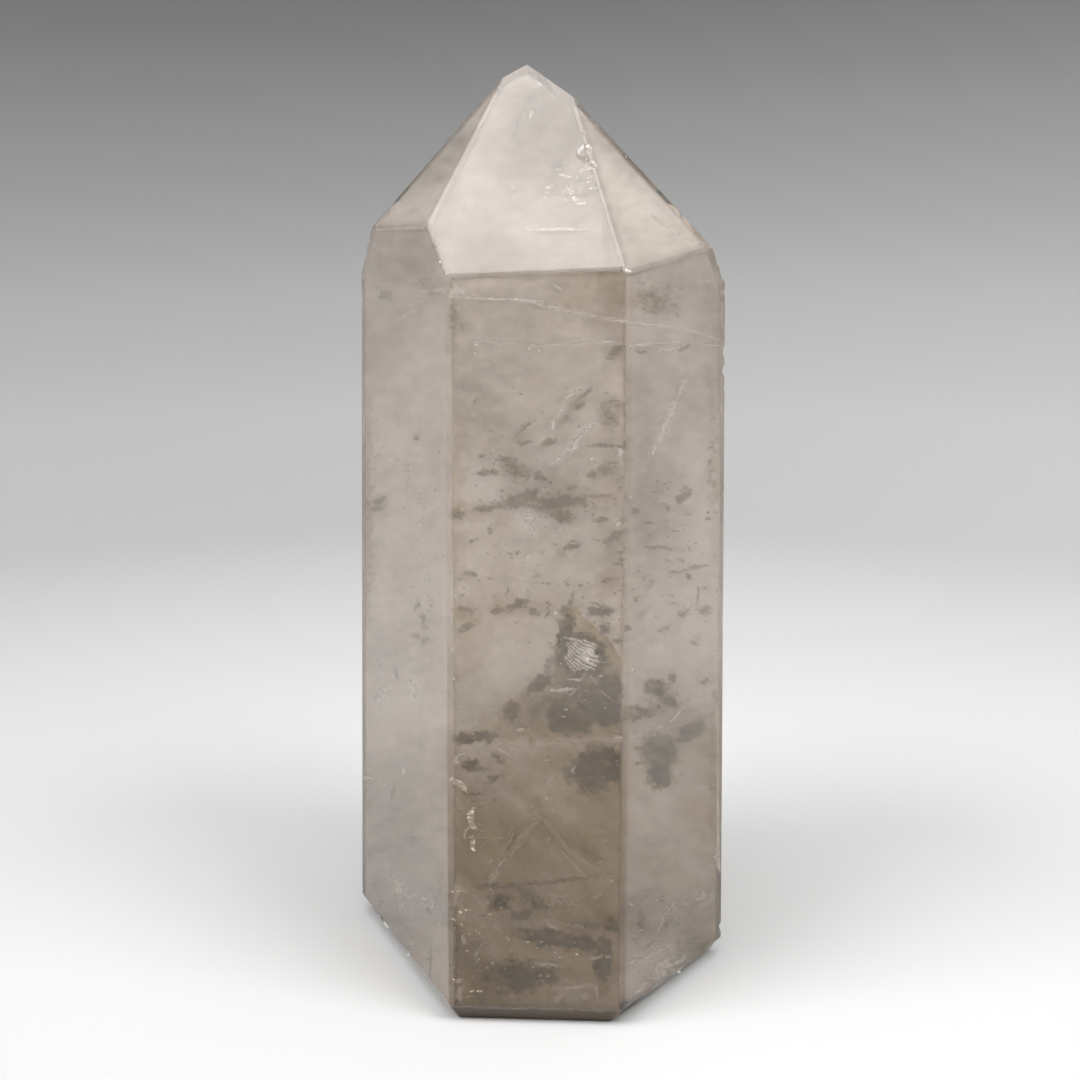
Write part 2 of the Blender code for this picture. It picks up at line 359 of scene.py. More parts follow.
# The foot's near black-brown is painted shade: its chamfer facing down in shadow and the floor's contact
# shadow
PAINTED_FOOT_SHADE = (0.085, 0.058, 0.036)
ABSORBED = (0.79, 0.70, 0.56)
ABSORPTION = 21.0
FOOT_TOP = 0.0019  # metres
FOOT_FADE = 0.0026
FOOT_RAGGED = 0.0008
SMOKE_TOP, SMOKE_FULL = 0.046, 0.016  # heights between which the stone gets smokier, in metres
SMOKE_DEPTHS = 0.7, 0.3  # where the smokier front begins and is full, in millimetres under it
SIDE_SMOKE = 0.45
CLOUDY_SCALE = 110
MOTTLED_SCALE = 900
PITTED_SCALE = 1700
CLEAREST = 0.925
CLOUDINESS = 0.08
FOOT_CLEAR = 0.15
POLISH = 0.01
UNEVEN_POLISH = 0.03
FOOT_ROUGHNESS = 0.35


def quartz_material():
    """Polished milky quartz: clear and cloudy by turns, smokier low down, partly the stone's brown and
    partly painted shade, with a ground foot painted dark as its shade.
    """
    material, tree, shader = new_material("milky_quartz")
    where = object_place(tree)
    height = add_node(tree, "SeparateXYZ", {"Vector": where}).outputs["Z"]
    cloudy = fade(tree, noise(tree, where, CLOUDY_SCALE, 3, 0.65), 0.32, 0.68)
    mottled = noise(tree, where, MOTTLED_SCALE, 1, 0.7)
    # painted shade as well as smoke: browner and darker low down, more under the front facet than on the
    # sides
    low = fade(tree, height, SMOKE_TOP, SMOKE_FULL)
    front = add_node(tree, "VectorMath", {0: where, 1: FRONT[0]}, operation="DOT_PRODUCT").outputs["Value"]
    start, end = ((FRONT[1] - under) * MM for under in SMOKE_DEPTHS)
    in_front = fade(tree, front, start, end, SIDE_SMOKE, 1.0)
    low = calculate(tree, "MULTIPLY", low, in_front)
    foot = fade(tree, calculate(tree, "MULTIPLY_ADD", mottled, FOOT_RAGGED, height), FOOT_FADE, FOOT_TOP)

    smoke_and_shade_share = calculate(tree, "MULTIPLY_ADD", mottled, 0.3, low, clamp=True)
    colour = blend_colours(tree, smoke_and_shade_share, MILKY, SMOKE_AND_SHADE)
    # painted shade on the ground foot
    colour = blend_colours(tree, foot, colour, PAINTED_FOOT_SHADE)
    tree.links.new(colour, shader.inputs["Base Color"])

    clear = calculate(tree, "MULTIPLY_ADD", cloudy, -CLOUDINESS, CLEAREST)
    inner = add_node(tree, "NewGeometry").outputs["Backfacing"]
    clear = calculate(tree, "MAXIMUM", clear, inner)
    clear = calculate(tree, "MULTIPLY", clear, fade(tree, foot, 0, 1, 1.0, FOOT_CLEAR))
    tree.links.new(clear, shader.inputs["Transmission Weight"])

    polish = calculate(tree, "MULTIPLY_ADD", mottled, UNEVEN_POLISH, POLISH)
    polish = calculate(tree, "MULTIPLY_ADD", foot, FOOT_ROUGHNESS, polish)
    tree.links.new(polish, shader.inputs["Roughness"])
    pitted = noise(tree, where, PITTED_SCALE, 0, 0.5)
    bump = add_node(tree, "Bump", {"Height": pitted, "Strength": 0.03, "Distance": 0.0001})
    tree.links.new(bump.outputs["Normal"], shader.inputs["Normal"])

    shader.inputs["IOR"].default_value = QUARTZ_IOR
    absorb = add_node(tree, "VolumeAbsorption", {"Color": (*ABSORBED, 1), "Density": ABSORPTION})
    tree.links.new(absorb.outputs["Volume"], tree.nodes["Material Output"].inputs["Volume"])
    return material


def dress_crystal():
    material = quartz_material()
    for place in CRYSTAL.material_slots:
        place.material = material


# Veils and flecks inside


def sprinkled(box, count, seed, size=1.0):
    """Small flat flecks strewn over a box of pixels."""
    rng = np.random.default_rng(seed)
    left, top, right, bottom = box
    across = rng.uniform(left, right, count)
    down = rng.uniform(top, bottom, count)
    wide = size * (0.7 + rng.gamma(1.6, 0.9, count))
    high = np.minimum(wide, size * rng.uniform(0.5, 1.1, count))
    turn = rng.normal(-8, 22, count)
    strength = rng.uniform(0.5, 1.0, count)
    return tuple(map(tuple, np.stack([across, down, wide, high, turn, strength], axis=1).tolist()))


def strewn(*rows):
    """Flecks sprinkled by several rows of box, count, seed and perhaps size."""
    return tuple(fleck for row in rows for fleck in sprinkled(*row))


# A blot is (across, down, half width, half height, turn in degrees, strength), in pixels of the
# photograph's 1080-pixel frame where the camera sees it; strength 1 is solid up to the half sizes.

FRONT_DARK = (
    (490, 508, 17, 2.4, -7, 1), (517, 501, 20, 6, -14, 0.95), (532, 494, 6, 4, -30, 1),
    (550, 503, 19, 5.5, -6, 1), (571, 500, 12, 5, 10, 1), (563, 516, 13, 6, 0, 0.8),
    (598, 496, 14, 1.6, -2, 0.9), (515, 469, 14, 8, 10, 0.62), (487, 473, 11, 2.5, 0, 0.9),
    (541, 477, 5, 4, 20, 1), (506, 460, 9, 2.5, -8, 0.85), (604, 472, 12, 5.5, -10, 0.75),
    (592, 475, 5, 3, 0, 1), (621, 478, 6, 2, 0, 0.95), (608, 446, 18, 1.6, 2, 1),
    (611, 463, 6, 2, 0, 1), (627, 446, 4, 4, 0, 0.8), (525, 443, 8, 1.6, -12, 0.95),
    (549, 442, 7, 3, -20, 1), (616, 536, 10, 3.5, -28, 1), (601, 520, 7, 1.8, 0, 1),
    (626, 520, 5, 2.5, 0, 1), (570, 548, 10, 3.2, -24, 0.95), (471, 574, 6, 1.8, 0, 0.95),
    (517, 552, 3, 2, -30, 1), (490, 530, 2.6, 3.4, 20, 1), (610, 579, 4, 1.8, -10, 1),
    (617, 351, 8, 4, -48, 0.95), (581, 406, 7, 2.6, -24, 0.95), (582, 396, 12, 1.6, -38, 0.9),
    (616, 403, 10, 2.5, 4, 0.8), (611, 414, 13, 13, 0, 0.52), (567, 418, 3, 7, 30, 0.8),
    (526, 428, 11, 1.6, -40, 0.8), (482, 456, 2.2, 1.6, 0, 1), (516, 605, 12, 4, -18, 0.95),
    (499, 611, 7, 2.4, -20, 0.9), (601, 611, 12, 3.6, -6, 1), (564, 611, 6, 4, 0, 1),
    (591, 609, 4, 4, 0, 1), (464, 609, 9, 2, 0, 0.85), (471, 541, 1.6, 1.6, 0, 1),
    (618, 541, 1.6, 1.6, 0, 1), (450, 317, 7, 12, 0, 0.6), (456, 515, 8, 5, 0, 0.7),
    (533, 611, 5, 4, 30, 0.8), (571, 600, 1.6, 9, 20, 0.7), (536, 576, 6, 2.5, 0, 0.6),
    (620, 552, 5, 1.2, 0, 0.9), (621, 559, 4, 1.2, 0, 0.9), (619, 564, 5, 1.2, 0, 0.9),
    (572, 487, 5, 2, -30, 0.8), (605, 582, 3, 1.4, 0, 0.8), (491, 578, 4, 1.6, 0, 0.7),
    (567, 625, 6, 9, 0, 1), (555, 655, 5, 14, 25, 0.95), (606, 630, 5, 4, 20, 1),
    (616, 641, 4, 2, 0, 1), (592, 668, 5, 10, 15, 0.95), (541, 680, 15, 6, -32, 0.85),
    (571, 683, 14, 5, 0, 0.8), (612, 689, 13, 6, 0, 0.95), (598, 673, 7, 4, -30, 0.9),
    (512, 709, 9, 7, 20, 0.95), (466, 627, 10, 3, -30, 0.7), (600, 652, 4, 6, 50, 0.7),
    (470, 737, 24, 3.4, -9, 0.85), (497, 758, 6, 3, 40, 0.8), (476, 768, 14, 3, 8, 0.7),
    (492, 781, 9, 2.4, -20, 0.7), (473, 794, 9, 1.5, 0, 0.9), (582, 706, 7, 5, -30, 0.8),
    (556, 716, 6, 9, 20, 0.7), (606, 705, 12, 3, 10, 0.9), (526, 726, 8, 3, 0, 0.6),
    (530, 884, 42, 1.7, -5, 1), (497, 897, 11, 2.6, -8, 0.9), (528, 895, 12, 5, 20, 0.72),
    (521, 915, 10, 4, -10, 1), (540, 908, 9, 3, 0, 0.8), (548, 933, 19, 3.4, 4, 0.85),
    (592, 926, 16, 3.2, 8, 0.85), (616, 924, 5, 5, 0, 0.9), (573, 942, 26, 3.6, 22, 0.8),
    (603, 965, 5, 20, 2, 0.85), (478, 945, 6, 3, -40, 0.8), (458, 938, 4, 4, 0, 1),
    (453, 956, 3, 10, 0, 0.8), (600, 790, 18, 3, -5, 0.7), (486, 885, 12, 1.4, -4, 1),
)
FRONT_PALE = (
    (457, 290, 8, 4, 8, 0.9), (450, 291, 14, 1.5, -4, 0.8), (482, 298, 30, 1.0, 4, 0.62),
    (524, 300, 15, 1.4, 5, 1), (545, 304, 16, 1.0, 8, 0.62), (584, 314, 30, 1.1, 10, 0.62),
    (620, 321, 18, 1.2, 7, 0.66), (559, 288, 7, 1.3, 32, 0.75), (604, 342, 16, 1.3, 2, 0.66),
    (553, 425, 1.8, 6, 8, 0.95), (561, 410, 1.6, 12, 28, 0.75), (571, 395, 6, 1.5, -40, 0.85),
    (576, 443, 3, 15, 38, 0.85), (562, 455, 3, 18, 42, 0.66), (590, 425, 3, 12, 44, 0.6),
    (620, 452, 3, 6, 20, 0.7), (617, 524, 4.5, 3.4, 0, 0.7), (528, 518, 8, 6, 30, 0.6),
    (592, 459, 1.5, 1.5, 0, 1), (555, 463, 1.5, 1.5, 0, 0.8), (531, 525, 3, 14, -8, 0.56),
    (575, 640, 12, 2, 12, 0.7), (559, 690, 14, 2, -6, 0.75), (575, 680, 8, 1.2, 0, 0.8),
    (520, 729, 4, 1.6, -10, 0.9), (461, 755, 10, 2.2, -28, 0.8), (456, 762, 4, 1.6, 30, 0.9),
    (504, 752, 12, 1.6, 30, 0.7), (620, 738, 14, 1.6, 0, 0.7), (574, 768, 1.4, 6, 20, 0.7),
    (552, 777, 2, 6, 5, 0.7), (500, 838, 6, 1.5, -12, 0.7), (508, 842, 1.4, 9, 30, 0.6),
    (520, 838, 1.6, 12, 38, 0.62), (500, 865, 1.6, 18, 36, 0.7), (491, 861, 2, 2, 0, 0.9),
    (535, 815, 3, 6, 60, 0.6), (600, 832, 8, 1.2, 5, 0.7), (577, 868, 1.2, 22, -44, 0.6),
    (555, 902, 10, 3, -30, 0.7), (552, 926, 9, 3.4, 24, 0.66), (580, 926, 12, 2, 6, 0.56),
    (455, 897, 5, 12, 12, 0.85), (449, 919, 2, 3, 0, 1), (453, 929, 1.4, 3, 0, 1),
    (463, 939, 3, 6, -30, 0.85), (477, 931, 2, 1.5, 0, 1), (478, 951, 1.4, 12, 22, 0.75),
    (458, 981, 3, 1.8, -30, 1), (449, 983, 1.5, 1.5, 0, 1), (460, 995, 4, 11, -14, 0.8),
    (448, 960, 1.2, 14, 0, 0.6), (576, 987, 20, 2, -6, 0.8), (560, 996, 3, 11, 44, 0.7),
    (597, 992, 1.6, 9, -5, 0.75), (583, 996, 9, 4, 20, 0.6), (545, 964, 18, 2.6, 6, 0.66),
    (600, 957, 22, 2.2, -6, 0.62), (575, 905, 6, 1.2, 20, 0.6), (612, 880, 6, 4, 30, 0.6),
    (448, 640, 2, 2, 0, 0.7), (452, 652, 3, 1.4, 40, 0.8), (556, 613, 2.4, 2.4, 0, 1),
    (523, 578, 2, 1, 0, 0.9), (477, 579, 1, 1, 0, 0.9), (455, 596, 1.4, 4, -30, 0.7),
)

# A line is (points in pixels, half width, strength); below 0 it is a dark one
FRONT_LINES = (
    (((443, 296), (500, 299), (530, 302), (560, 310), (600, 317), (634, 322)), 1.1, 0.8),
    (((470, 341), (540, 346), (600, 342), (634, 345)), 0.9, 0.5),
    (((512, 828), (500, 862), (486, 890)), 1.3, 0.7),
    (((540, 818), (526, 832), (508, 858), (488, 886)), 1.4, 0.9),
    (((546, 822), (568, 850), (600, 872)), 1.1, 0.6),
    (((486, 887), (520, 886), (548, 884), (570, 880), (600, 878)), 1.3, -0.9),
    (((498, 700), (499, 716), (503, 742)), 0.9, -0.6),
    (((540, 935), (572, 944), (600, 958), (606, 980)), 2.0, -0.8),
    (((500, 741), (540, 744), (590, 739), (632, 741)), 2.0, 0.55),
    (((570, 695), (588, 672), (600, 690), (612, 700), (632, 705)), 1.0, 0.6),
)
RIGHT_LINES = (
    (((628, 321), (652, 325), (680, 328), (704, 334), (722, 341)), 1.1, 0.8),
    (((628, 344), (660, 343), (690, 342), (722, 346)), 1.0, 0.6),
    (((650, 455), (662, 430), (674, 404), (688, 372)), 2.0, 0.7),
    (((628, 741), (640, 740), (660, 734), (678, 722), (700, 712)), 1.4, 0.5),
    (((628, 716), (660, 712), (690, 700)), 1.4, -0.4),
)

# Clearer, browner windows in the milk under the front facet
FRONT_WINDOWS = (
    (575, 716, 20, 14, -20, 1), (606, 710, 19, 13, 0, 0.9), (566, 642, 7, 20, 8, 0.8),
    (540, 685, 16, 6, -32, 0.8), (511, 712, 9, 11, 0, 0.6), (470, 738, 26, 6, -9, 0.75),
    (596, 768, 28, 18, -14, 0.85), (468, 766, 14, 5, 0, 0.6), (497, 778, 8, 8, -30, 0.5),
    (560, 940, 44, 9, 8, 0.7), (520, 975, 44, 18, 0, 0.62), (604, 955, 7, 26, 0, 0.7),
    (500, 905, 18, 9, -20, 0.55), (545, 905, 22, 7, 8, 0.5), (612, 925, 12, 9, 0, 0.5),
)
# Softly paler (above 0) and darker (below 0) places in it
FRONT_SHADES = (
    (602, 290, 44, 24, 6, -0.34), (566, 444, 40, 9, -52, 0.34), (530, 524, 10, 18, 0, 0.22),
    (515, 640, 50, 40, 0, -0.06), (500, 570, 50, 50, 0, -0.10), (500, 345, 50, 30, 0, 0.12),
    (452, 480, 12, 100, 0, -0.22), (612, 520, 16, 130, 0, -0.14), (540, 503, 80, 12, -6, -0.22),
    (545, 602, 70, 12, -10, -0.16), (466, 645, 18, 40, -20, -0.18), (515, 325, 36, 7, 0, -0.16),
    (450, 318, 9, 14, 0, -0.3), (610, 412, 15, 15, 0, -0.2), (515, 469, 17, 10, 10, -0.2),
    (565, 712, 56, 22, -8, -0.5), (604, 690, 24, 18, 0, -0.3), (575, 655, 14, 24, 10, -0.2),
    (540, 745, 90, 5, -2, 0.24), (510, 800, 40, 24, -30, 0.14), (560, 800, 24, 18, 0, 0.16),
    (535, 870, 34, 20, 30, -0.04), (540, 905, 90, 40, 0, 0.10), (560, 835, 30, 14, 40, 0.12),
    (545, 862, 30, 18, 0, -0.04),
    (590, 850, 24, 30, 40, 0.02), (585, 815, 60, 12, 10, 0.12), (465, 850, 16, 40, 0, -0.12),
    (578, 990, 24, 9, -6, 0.4), (457, 900, 8, 16, 10, 0.4), (545, 960, 30, 7, 6, 0.18),
    (555, 905, 12, 6, -30, 0.3), (555, 926, 12, 6, 20, 0.3), (470, 925, 18, 16, 0, 0.1),
)

RIGHT_DARK = (
    (685, 497, 7, 3.4, -30, 1), (652, 547, 8, 1.4, 0, 1), (667, 549, 6, 1.4, 8, 1),
    (636, 511, 4, 1.6, 20, 1), (650, 523, 5, 1.3, 10, 1), (675, 572, 6, 1.3, -4, 0.95),
    (700, 567, 9, 1.5, -6, 0.9), (690, 577, 4, 2, 30, 0.9), (704, 611, 6, 5, 0, 0.8),
    (684, 614, 4, 2.4, -30, 0.9), (698, 596, 1.5, 8, 10, 0.7), (655, 298, 26, 17, 6, 0.5),
    (642, 352, 4, 1.3, 4, 1), (683, 348, 8, 2.4, -24, 0.75), (656, 492, 6, 1, 0, 0.8),
    (668, 508, 3, 3, 0, 0.7), (712, 450, 4, 60, 0, 0.42), (668, 560, 6, 1.2, 30, 0.8),
    (655, 687, 12, 8, 8, 0.8), (667, 700, 9, 9, 40, 0.62), (643, 713, 20, 5, -14, 0.6),
    (628, 629, 3, 3, 0, 1), (666, 628, 10, 4, -20, 0.5), (672, 679, 3.4, 7, -10, 0.9),
    (705, 682, 6, 3, 0, 0.75), (690, 733, 20, 7, -38, 0.6), (660, 748, 16, 14, 10, 0.72),
    (660, 772, 11, 12, 0, 0.72), (695, 640, 8, 5, -20, 0.4), (642, 925, 3.4, 9, 0, 0.9),
    (640, 914, 3, 4, 0, 0.95), (667, 925, 2.6, 6, 10, 0.8), (634, 940, 4, 2, 0, 0.8),
    (650, 945, 8, 2, -20, 0.6), (690, 940, 16, 14, -30, 0.5), (716, 700, 2.5, 9, 0, 0.5),
    (680, 560, 4, 1.2, 20, 0.7), (706, 588, 5, 2, -40, 0.6), (637, 600, 2, 2, 0, 0.7),
)
RIGHT_PALE = (
    (672, 412, 3.2, 16, 26, 0.85), (664, 428, 3.0, 18, 26, 0.8), (682, 390, 3.4, 16, 22, 0.62),
    (654, 450, 1.8, 10, 20, 0.7), (660, 325, 32, 1.1, 6, 0.66), (705, 336, 18, 1.1, 6, 0.6),
    (640, 345, 12, 1.6, 3, 0.7), (672, 349, 12, 3.0, -8, 0.7), (700, 343, 22, 1.0, 2, 0.6),
    (681, 298, 1.4, 1.4, 0, 1), (705, 281, 9, 1.0, 10, 0.66), (631, 497, 1.6, 1.6, 0, 0.9),
    (676, 716, 1.2, 6, 35, 1), (673, 720, 5, 1.0, -34, 0.9), (660, 727, 14, 1.6, -30, 0.6),
    (702, 898, 6, 3, -28, 0.85), (702, 895, 2, 6, 20, 0.8), (716, 855, 1.1, 7, 0, 1),
    (716, 856, 5, 1.1, 0, 1), (672, 905, 1.3, 24, 34, 0.66), (660, 926, 1.2, 12, 26, 0.85),
    (652, 955, 22, 2.4, -26, 0.7), (665, 968, 24, 13, -30, 0.56), (680, 960, 12, 4, -40, 0.66),
    (632, 905, 5, 3, 30, 0.62), (640, 990, 8, 3, -30, 0.7), (632, 670, 1.6, 3, 10, 0.9),
    (676, 893, 2, 2, 0, 0.7), (702, 640, 2, 8, -20, 0.5), (685, 608, 2, 10, -30, 0.56),
    (632, 960, 6, 5, 0, 0.6), (712, 440, 1.4, 30, 0, 0.4), (661, 822, 2, 5, 0, 0.56),
)
RIGHT_WINDOWS = (
    (660, 752, 19, 15, 8, 0.85), (662, 774, 12, 13, 0, 0.8), (655, 687, 13, 8, 8, 0.7),
    (668, 701, 10, 8, 30, 0.6), (643, 712, 20, 6, -14, 0.62), (692, 731, 20, 7, -38, 0.7),
)
RIGHT_SHADES = (
    (656, 297, 36, 20, 6, -0.3), (668, 415, 48, 8, -64, 0.34), (698, 540, 18, 50, 0, 0.2),
    (716, 470, 7, 100, 0, -0.26), (645, 400, 14, 60, 0, -0.1), (650, 330, 40, 6, 5, 0.14),
    (700, 940, 16, 18, 0, -0.24), (655, 966, 34, 16, -30, 0.26), (642, 924, 12, 16, 0, -0.26),
    (660, 815, 34, 24, 0, 0.14), (716, 800, 6, 70, 0, -0.16), (702, 898, 8, 6, 0, 0.3),
    (660, 870, 30, 30, 0, -0.06), (700, 650, 16, 30, 0, 0.1), (650, 640, 16, 30, 0, 0.06),
)

LEFT_DARK = (
    (379, 500, 8, 3, -24, 0.75), (376, 508, 6, 2, 0, 0.8), (416, 440, 3, 5, 20, 0.55),
    (417, 606, 2.4, 5, 0, 0.8), (423, 620, 3, 8, -10, 0.75), (418, 636, 5, 3, 0, 0.8),
    (425, 641, 3, 3, 0, 0.8), (394, 791, 2, 9, 8, 0.7), (380, 918, 1.4, 4, -20, 1),
    (429, 912, 4, 2.4, 30, 0.7), (416, 840, 8, 1.2, 50, 0.6), (431, 960, 1.2, 20, 0, 0.7),
    (395, 672, 2, 5, -20, 0.7), (383, 545, 2, 3, 0, 0.5), (408, 470, 2, 30, 0, 0.36),
    (384, 296, 6, 10, 0, 0.5), (424, 282, 12, 10, 0, 0.36), (440, 880, 3, 16, 0, 0.4),
)
LEFT_PALE = (
    (398, 888, 8, 17, -24, 0.66), (402, 903, 6, 7, 0, 0.6), (424, 898, 12, 3, 20, 0.62),
    (433, 905, 2, 10, 10, 0.6), (412, 945, 5, 5, 0, 0.62), (384, 924, 2, 7, -30, 0.8),
    (413, 690, 2.4, 10, -10, 0.7), (416, 684, 5, 1.4, 20, 0.66), (380, 690, 11, 30, 0, 0.42),
    (368, 778, 9, 2, 0, 0.8), (404, 770, 1.6, 4, 0, 0.85), (420, 496, 1.4, 6, 0, 0.8),
    (422, 520, 1.2, 8, -4, 0.66), (425, 545, 1.4, 6, 0, 0.75), (420, 550, 1.2, 3, 0, 0.8),
    (424, 580, 1.4, 4, 0, 0.7), (428, 610, 3, 6, 0, 0.5), (412, 655, 3, 1.4, -40, 0.7),
    (430, 660, 3, 1.4, 0, 0.6), (446, 690, 1.2, 14, -30, 0.5), (420, 302, 26, 1.2, -18, 0.6),
    (436, 290, 10, 2, 0, 0.56), (410, 312, 10, 1.4, -30, 0.56), (418, 965, 2, 8, -40, 0.5),
    (391, 464, 1.4, 3, 0, 0.5), (441, 480, 1.2, 5, 0, 0.5), (405, 955, 4, 2, 0, 0.5),
)
LEFT_SHADES = (
    (366, 500, 7, 130, 0, -0.34), (366, 760, 5, 90, 0, -0.2), (380, 700, 12, 60, 0, 0.2),
    (400, 893, 10, 20, -24, 0.3), (424, 520, 8, 90, 0, 0.12), (412, 690, 8, 16, 0, 0.24),
    (380, 505, 12, 9, 0, -0.24), (418, 622, 7, 28, 0, -0.16), (410, 310, 50, 60, 0, 0.2),
    (410, 935, 24, 30, 30, -0.12), (415, 840, 30, 60, 0, 0.14), (426, 900, 14, 8, 0, 0.16),
)

TIP_DARK = (
    (518, 122, 3, 30, 24, 0.45), (556, 166, 8, 1.2, -28, 0.8), (464, 208, 1.2, 9, 24, 0.5),
    (500, 198, 1.2, 5, 0, 0.5),
)
TIP_PALE = (
    (560, 229, 30, 1.3, 0, 0.75), (530, 116, 1.4, 6, 16, 0.6), (548, 190, 4, 6, 20, 0.5),
    (575, 199, 4, 3, 0, 0.7), (570, 191, 6, 2, 40, 0.55), (563, 176, 7, 2, 24, 0.6),
    (545, 197, 3, 2, 0, 0.7), (592, 176, 7, 1.4, -30, 0.6), (590, 168, 9, 1.8, -20, 0.75),
    (586, 160, 2, 9, 10, 0.6), (540, 84, 5, 2, 30, 0.5), (513, 188, 2, 2, 0, 0.6),
)
TIP_GLINTS = strewn(((556, 160, 602, 206), 34, 71, 0.8))
# The darker places here are painted shade: they stand in for the darker back facets seen bent through the
# tip
TIP_SHADES = (
    (550, 128, 34, 44, 14, -0.08), (548, 108, 14, 28, 24, -0.12), (572, 124, 16, 24, -30, -0.12),
    (532, 160, 44, 18, -6, -0.06), (576, 100, 16, 16, 30, -0.10),
    (500, 108, 20, 40, 14, 0.05), (556, 225, 70, 26, 0, 0.16), (590, 165, 14, 18, 0, 0.16),
    (560, 188, 26, 16, 0, 0.1), (478, 172, 16, 30, 24, 0.06),
)
TIP_RIGHT_PALE = (
    (665, 224, 22, 1.4, 34, 0.55), (690, 240, 16, 1.2, 24, 0.5), (627, 157, 1.6, 1.6, 0, 0.9),
)
TIP_RIGHT_SHADES = (
    (604, 132, 14, 32, -38, -0.2), (650, 205, 10, 20, -34, -0.1), (640, 246, 20, 9, 10, -0.1),
    (628, 200, 16, 26, 0, 0.2), (668, 226, 26, 6, 34, 0.2),
)
TIP_LEFT_SHADES = (
    (440, 160, 12, 40, 40, -0.14), (420, 192, 22, 12, 30, -0.1),
)


def eased(value, start, end):
    """0 below the start, 1 above the end, and eased between."""
    share = np.clip((value - start) / (end - start), 0, 1)
    return share * share * (3 - 2 * share)


def blot_field(u, v, blots, ragged, seed):
    """The strongest of the blots at each place: a blot's strength at its middle, half that at its half
    sizes, and 0 at twice them, with the places first shifted by noise."""
    shift_u = (clouds(u / 7, v / 7, seed, 5) - 0.5) * 16 * ragged
    shift_v = (clouds(u / 7 + 40, v / 7 + 40, seed + 9, 5) - 0.5) * 12 * ragged
    field = np.zeros(u.shape)
    for across, down, half_width, half_height, turn, strength in blots:
        size = min(1.0, 0.12 + min(half_width, half_height) / 7)
        du = u + shift_u * size - across
        dv = v + shift_v * size - down
        cos, sin = math.cos(math.radians(turn)), math.sin(math.radians(turn))
        along = (du * cos + dv * sin) / half_width
        beside = (dv * cos - du * sin) / half_height
        field = np.maximum(field, strength * np.clip(1 - np.hypot(along, beside) / 2, 0, 1))
    return field


def line_field(u, v, lines, seed):
    """How strong the pale and the dark lines are: each is strongest on its way through its points,
    nothing at twice its half width, and broken up by noise."""
    shift = 5 * (clouds(u / 16, v / 16, seed, 4) - 0.5)
    broken = eased(clouds(u / 12, v / 12, seed + 1, 3), 0.25, 0.6)
    fields = [np.zeros(u.shape), np.zeros(u.shape)]
    for points, half_width, strength in lines:
        nearest = np.full(u.shape, np.inf)
        for (from_u, from_v), (to_u, to_v) in zip(points, points[1:]):
            run_u, run_v = to_u - from_u, to_v - from_v
            way = ((u + shift - from_u) * run_u + (v + shift - from_v) * run_v) / (run_u**2 + run_v**2)
            way = np.clip(way, 0, 1)
            away = np.hypot(u + shift - from_u - way * run_u, v + shift - from_v - way * run_v)
            nearest = np.minimum(nearest, away)
        shown = abs(strength) * (0.4 + 0.6 * broken) * np.clip(1.5 - nearest / half_width, 0, 1)
        kind = int(strength < 0)
        fields[kind] = np.maximum(fields[kind], shown)
    return fields


def rim_fade(u, v, box, width):
    """1 inside a box, falling evenly to 0 over a width at its rim."""
    left, top, right, bottom = box
    inner = np.minimum.reduce([u - left, right - u, v - top, bottom - v])
    return np.clip(inner / width, 0, 1)


def pixel_grid(box, step):
    """Rows and columns of pixel places over a box."""
    left, top, right, bottom = box
    across = np.linspace(left, right, round((right - left) / step) + 1)
    down = np.linspace(top, bottom, round((bottom - top) / step) + 1)
    return np.meshgrid(across, down)


LEAST_COVER = 0.015  # below this much a sheet is left out
SKIN = 0.15  # how near the surface a veil may come, in millimetres
SKIN_FADE = 0.15
LEAST_ROOM = 0.05
MITRE_OVERLAP = 0.15  # how far a sheet goes past half way to the next facet's, in millimetres
MITRE_FADE = 0.25
EDGE_TONE = 0.56  # the palest tone at a facet's edge
EDGE_WIDTH = 0.6


def room_inside(points, facet):
    """How far points are inside the nearest facet, and how much nearer they are to this one than to
    the others."""
    rooms = {other: other[1] - points @ np.array(other[0]) for other in FACETS}
    own = rooms.pop(facet)
    others = np.minimum.reduce(list(rooms.values()))
    return np.minimum(own, others), others - own


def add_sheet(name, points, facet, cover, tone, material):
    """A thin sheet over a grid of points in millimetres, only where it covers anything. Each corner
    carries how much it hides and how pale it is, greyer near the facet's edges."""
    faces = grid_faces(*points.shape[:2])
    room, mitre = (field.ravel() for field in room_inside(points, facet))
    own_side = np.clip((mitre + MITRE_OVERLAP) / MITRE_FADE, 0, 1)
    cover = cover.ravel() * np.clip((room - SKIN) / SKIN_FADE, 0, 1) * own_side
    near_edge = 1 - np.clip(mitre / EDGE_WIDTH, 0, 1)
    tone = tone.ravel()
    tone = np.where(tone > EDGE_TONE, tone + (EDGE_TONE - tone) * near_edge, tone)
    shown = (cover[faces].max(axis=1) > LEAST_COVER) & (room[faces].min(axis=1) > LEAST_ROOM)
    faces = faces[shown]
    used, faces = np.unique(faces, return_inverse=True)
    mesh = mesh_from(name, points.reshape(-1, 3)[used] * MM, faces.reshape(-1, 4))
    for key, field in (("cover", cover[used]), ("tone", tone[used])):
        layer = mesh.attributes.new(key, "FLOAT", "POINT")
        layer.data.foreach_set("value", field.astype(np.float32))
    made = add_object(name, mesh, material)
    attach(made, "root")
    made.visible_shadow = False  # the crystal round it casts the shadow


